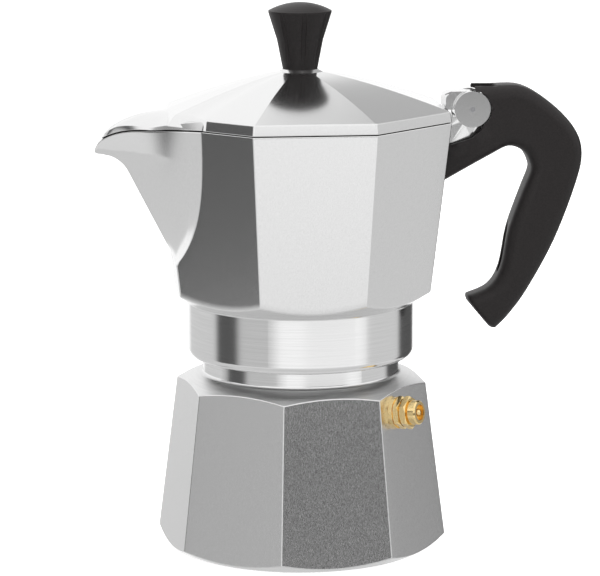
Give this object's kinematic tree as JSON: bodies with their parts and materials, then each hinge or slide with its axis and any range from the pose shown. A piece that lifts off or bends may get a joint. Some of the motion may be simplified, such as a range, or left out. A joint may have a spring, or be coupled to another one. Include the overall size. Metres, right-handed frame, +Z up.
{
  "type": "moka_pot",
  "caption": "Stove-top moka pot, six-cup size, octagonal cast aluminium with a black handle and knob; lid opens, collector unscrews, funnel lifts out",
  "frame": {"origin": "centre of the foot, on the surface that the pot stands on", "axes": "+Z up, +X towards the handle, -X towards the spout, -Y the side that is seen from the front"},
  "size_m": [0.1864, 0.1098, 0.2089],
  "materials": {
    "cast_aluminium": "polished casting",
    "sheet_aluminium": "pressed sheet, satin",
    "valve_brass": "turned brass",
    "bright_steel": "bright steel",
    "white_rubber": "smooth",
    "black_plastic": "moulded, half gloss"
  },
  "bodies": {
    "base": {"boiler": "cast_aluminium", "valve_body": "valve_brass", "valve_washer": "bright_steel", "valve_cap": "valve_brass", "valve_spring": "bright_steel"},
    "piston": {"valve_piston": "valve_brass"},
    "funnel": {"funnel_basket": "sheet_aluminium", "funnel_stem": "sheet_aluminium", "funnel_screen": "sheet_aluminium"},
    "seal": {"gasket": "white_rubber", "filter_plate": "sheet_aluminium"},
    "collector": {"collector": "cast_aluminium", "hinge_pin": "bright_steel", "handle": "black_plastic", "handle_screw": "bright_steel"},
    "lid": {"lid": "cast_aluminium", "knob": "black_plastic", "knob_insert": "valve_brass", "knob_screw": "bright_steel", "knob_washer": "bright_steel"}
  },
  "joints": [
    {"name": "valve_lift", "type": "slide", "parent": "base", "child": "piston", "axis": [0.8054, -0.5809, 0.1176], "range_m": [0, 0.0009], "stiffness_N_per_m": 6000, "deforming": ["valve_spring"]},
    {"name": "funnel_lift", "type": "slide", "parent": "base", "child": "funnel", "axis": [0, 0, 1], "range_m": [0, 0.14]},
    {"name": "collector_rise", "type": "slide", "parent": "funnel", "child": "seal", "axis": [0, 0, 1], "range_m": [0, 0.0076]},
    {"name": "collector_turn", "type": "hinge", "parent": "seal", "child": "collector", "pos_m": [0, 0, 0.1], "axis": [0, 0, 1], "range_deg": [0, 900]},
    {"name": "lid_hinge", "type": "hinge", "parent": "collector", "child": "lid", "pos_m": [0.06518, 0, 0.168], "axis": [0, 1, 0], "range_deg": [0, 95]}
  ],
  "couplings": [
    {"joint": "collector_rise", "follows": "collector_turn", "m_per_rad": 0.00047746}
  ]
}
